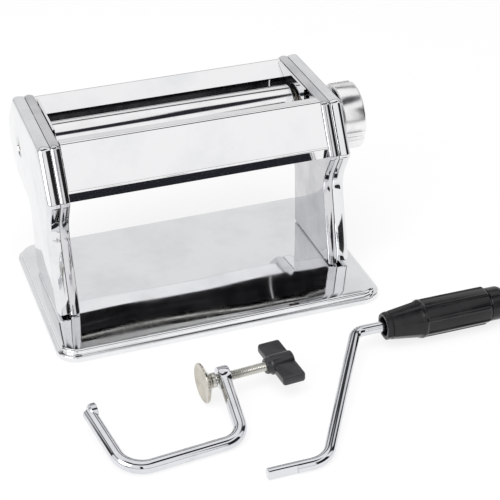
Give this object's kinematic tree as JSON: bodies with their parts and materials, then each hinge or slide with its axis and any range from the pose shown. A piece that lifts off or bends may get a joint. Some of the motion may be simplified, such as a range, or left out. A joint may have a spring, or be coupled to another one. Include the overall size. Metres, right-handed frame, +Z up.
{
  "type": "pasta roller machine",
  "caption": "Table-top hand-cranked sheet pasta roller with two chromed rollers, thickness dial, stepped base plate, and its crank and table clamp lying beside it.",
  "frame": {"origin": "middle of the whole set on the table: the machine with its crank and clamp lying in front of it", "axes": "+Z up, +X along the rollers towards the dial, -Y towards the front cover, the crank and the clamp"},
  "size_m": [0.2592, 0.2892, 0.1123],
  "materials": {
    "chrome": "bright chrome plate on pressed steel",
    "roller_chrome": "hard chrome on turned steel, polished",
    "gear_steel": "bare machined steel",
    "zinc": "zinc plated, slightly warm",
    "nickel": "nickel plated, satin",
    "bronze": "sintered bearing bronze",
    "black_plastic": "moulded black plastic, low gloss",
    "white_plastic": "moulded food-safe plastic",
    "rubber": "moulded rubber"
  },
  "bodies": {
    "machine": {"base_plate": "chrome", "rubber_foot_1": "rubber", "rubber_foot_2": "rubber", "rubber_foot_3": "rubber", "rubber_foot_4": "rubber", "leg_screw_1": "zinc", "leg_screw_2": "zinc", "leg_screw_3": "zinc", "leg_screw_4": "zinc", "inner_frame_left": "chrome", "inner_frame_right": "chrome", "outer_cover_left": "chrome", "outer_cover_right": "chrome", "tie_rod_rear": "zinc", "tie_rod_front": "zinc", "cover_screw_left": "zinc", "cover_screw_right": "zinc", "front_cover": "chrome", "hopper_plate": "chrome", "rear_cover": "chrome", "hopper_cheek_left": "chrome", "hopper_cheek_right": "chrome", "roller_bush_left": "bronze", "roller_bush_right": "bronze", "scraper_front": "white_plastic", "scraper_rear": "white_plastic"},
    "drive_roller": {"rear_roller": "roller_chrome", "gear_rear": "gear_steel"},
    "gap_carriers": {"roller_carrier_left": "bronze", "roller_carrier_right": "bronze"},
    "gap_roller": {"front_roller": "roller_chrome", "gear_front": "gear_steel"},
    "dial_shaft": {"dial_spindle": "gear_steel", "detent_disc": "gear_steel"},
    "dial": {"dial_knob": "chrome"},
    "crank": {"crank_rod": "chrome"},
    "handle": {"crank_grip": "black_plastic", "grip_end_cap": "black_plastic"},
    "clamp": {"clamp_frame": "chrome"},
    "clamp_pad": {"clamp_pad": "nickel"},
    "clamp_screw": {"clamp_screw": "zinc", "clamp_knob": "black_plastic"}
  },
  "joints": [
    {"name": "drive_roller_spin", "type": "hinge", "parent": "machine", "child": "drive_roller", "pos_m": [-0.02803, 0.0921, 0.0915], "axis": [1, 0, 0], "continuous": true},
    {"name": "gap_shift", "type": "slide", "parent": "machine", "child": "gap_carriers", "axis": [0, -1, 0], "range_m": [0, 0.002]},
    {"name": "gap_roller_spin", "type": "hinge", "parent": "gap_carriers", "child": "gap_roller", "pos_m": [-0.02803, 0.0651, 0.0915], "axis": [1, 0, 0], "continuous": true},
    {"name": "dial_turn", "type": "hinge", "parent": "machine", "child": "dial_shaft", "pos_m": [0.06598, 0.0651, 0.0915], "axis": [1, 0, 0], "range_deg": [0, 240]},
    {"name": "dial_pull", "type": "slide", "parent": "dial_shaft", "child": "dial", "axis": [1, 0, 0], "range_m": [0, 0.004], "stiffness_N_per_m": 800},
    {"name": "crank_lift", "type": "slide", "parent": "machine", "child": "crank", "axis": [0, 0, 1], "range_m": [0, 0.15]},
    {"name": "handle_spin", "type": "hinge", "parent": "crank", "child": "handle", "pos_m": [0.08697, -0.0488, 0.0115], "axis": [1, 0, 0], "continuous": true},
    {"name": "clamp_lift", "type": "slide", "parent": "machine", "child": "clamp", "axis": [0, 0, 1], "range_m": [0, 0.15]},
    {"name": "clamp_feed", "type": "slide", "parent": "clamp", "child": "clamp_pad", "axis": [-0.9969, -0.0785, 0], "range_m": [0, 0.02]},
    {"name": "clamp_screw_turn", "type": "hinge", "parent": "clamp_pad", "child": "clamp_screw", "pos_m": [-0.04902, -0.0648, 0.0115], "axis": [-0.9969, -0.0785, 0], "range_deg": [0, 7200]}
  ],
  "couplings": [
    {"joint": "gap_roller_spin", "follows": "drive_roller_spin", "ratio": -1},
    {"joint": "dial_turn", "follows": "gap_shift", "rad_per_m": 2094.4},
    {"joint": "clamp_screw_turn", "follows": "clamp_feed", "rad_per_m": 6283.2}
  ]
}
